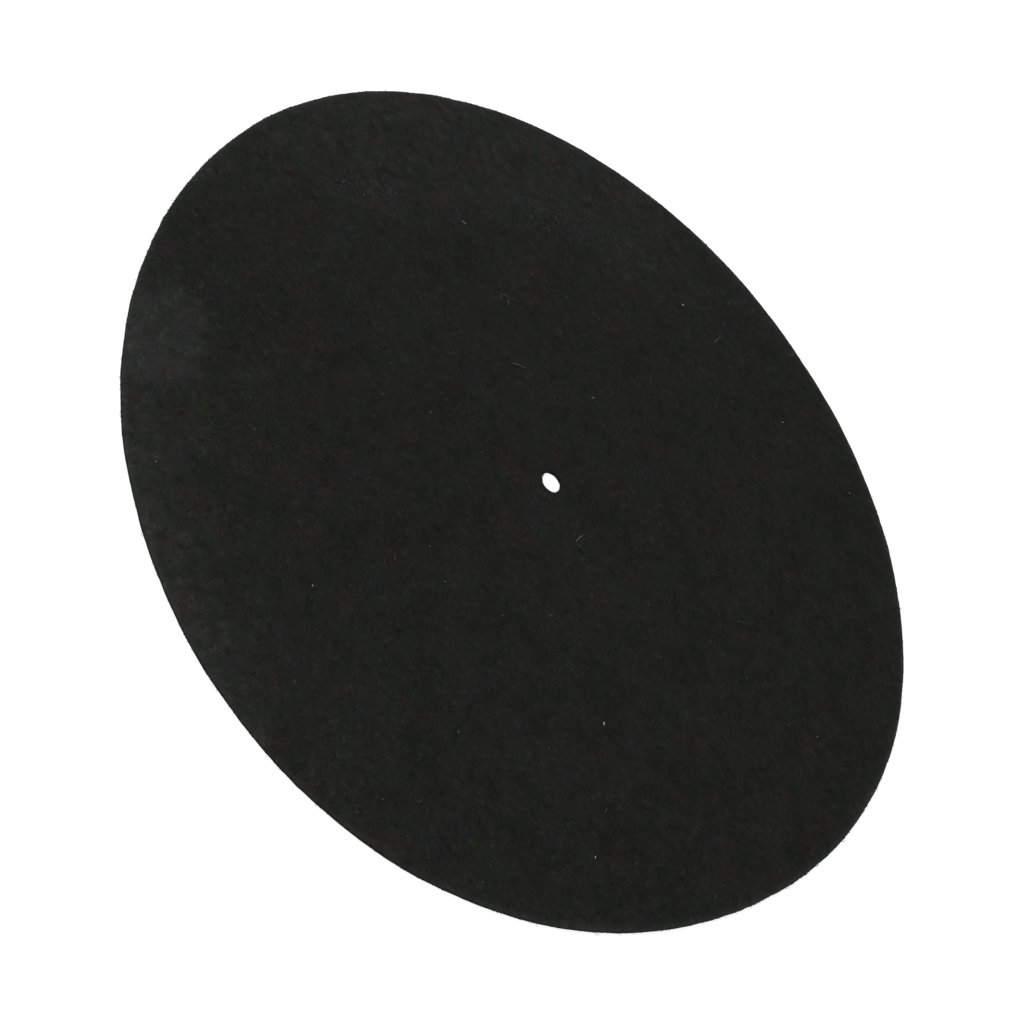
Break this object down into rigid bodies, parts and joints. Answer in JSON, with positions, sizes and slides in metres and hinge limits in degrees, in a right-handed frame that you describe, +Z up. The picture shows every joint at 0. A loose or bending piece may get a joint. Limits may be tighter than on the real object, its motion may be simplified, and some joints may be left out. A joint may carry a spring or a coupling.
{
  "type": "turntable platter mat",
  "caption": "Thin round mat of dark pressed felt with a central spindle hole, laid on a turntable platter to carry the record.",
  "frame": {"origin": "centre of the underside, on the axis of the spindle hole", "axes": "+Z up, along the axis of the spindle hole, from the underside to the record face"},
  "size_m": [0.3, 0.3, 0.0015],
  "materials": {
    "felt": "near-black pressed felt with a short matted nap, dead matt"
  },
  "bodies": {
    "root": {"felt_mat": "felt"}
  },
  "joints": []
}
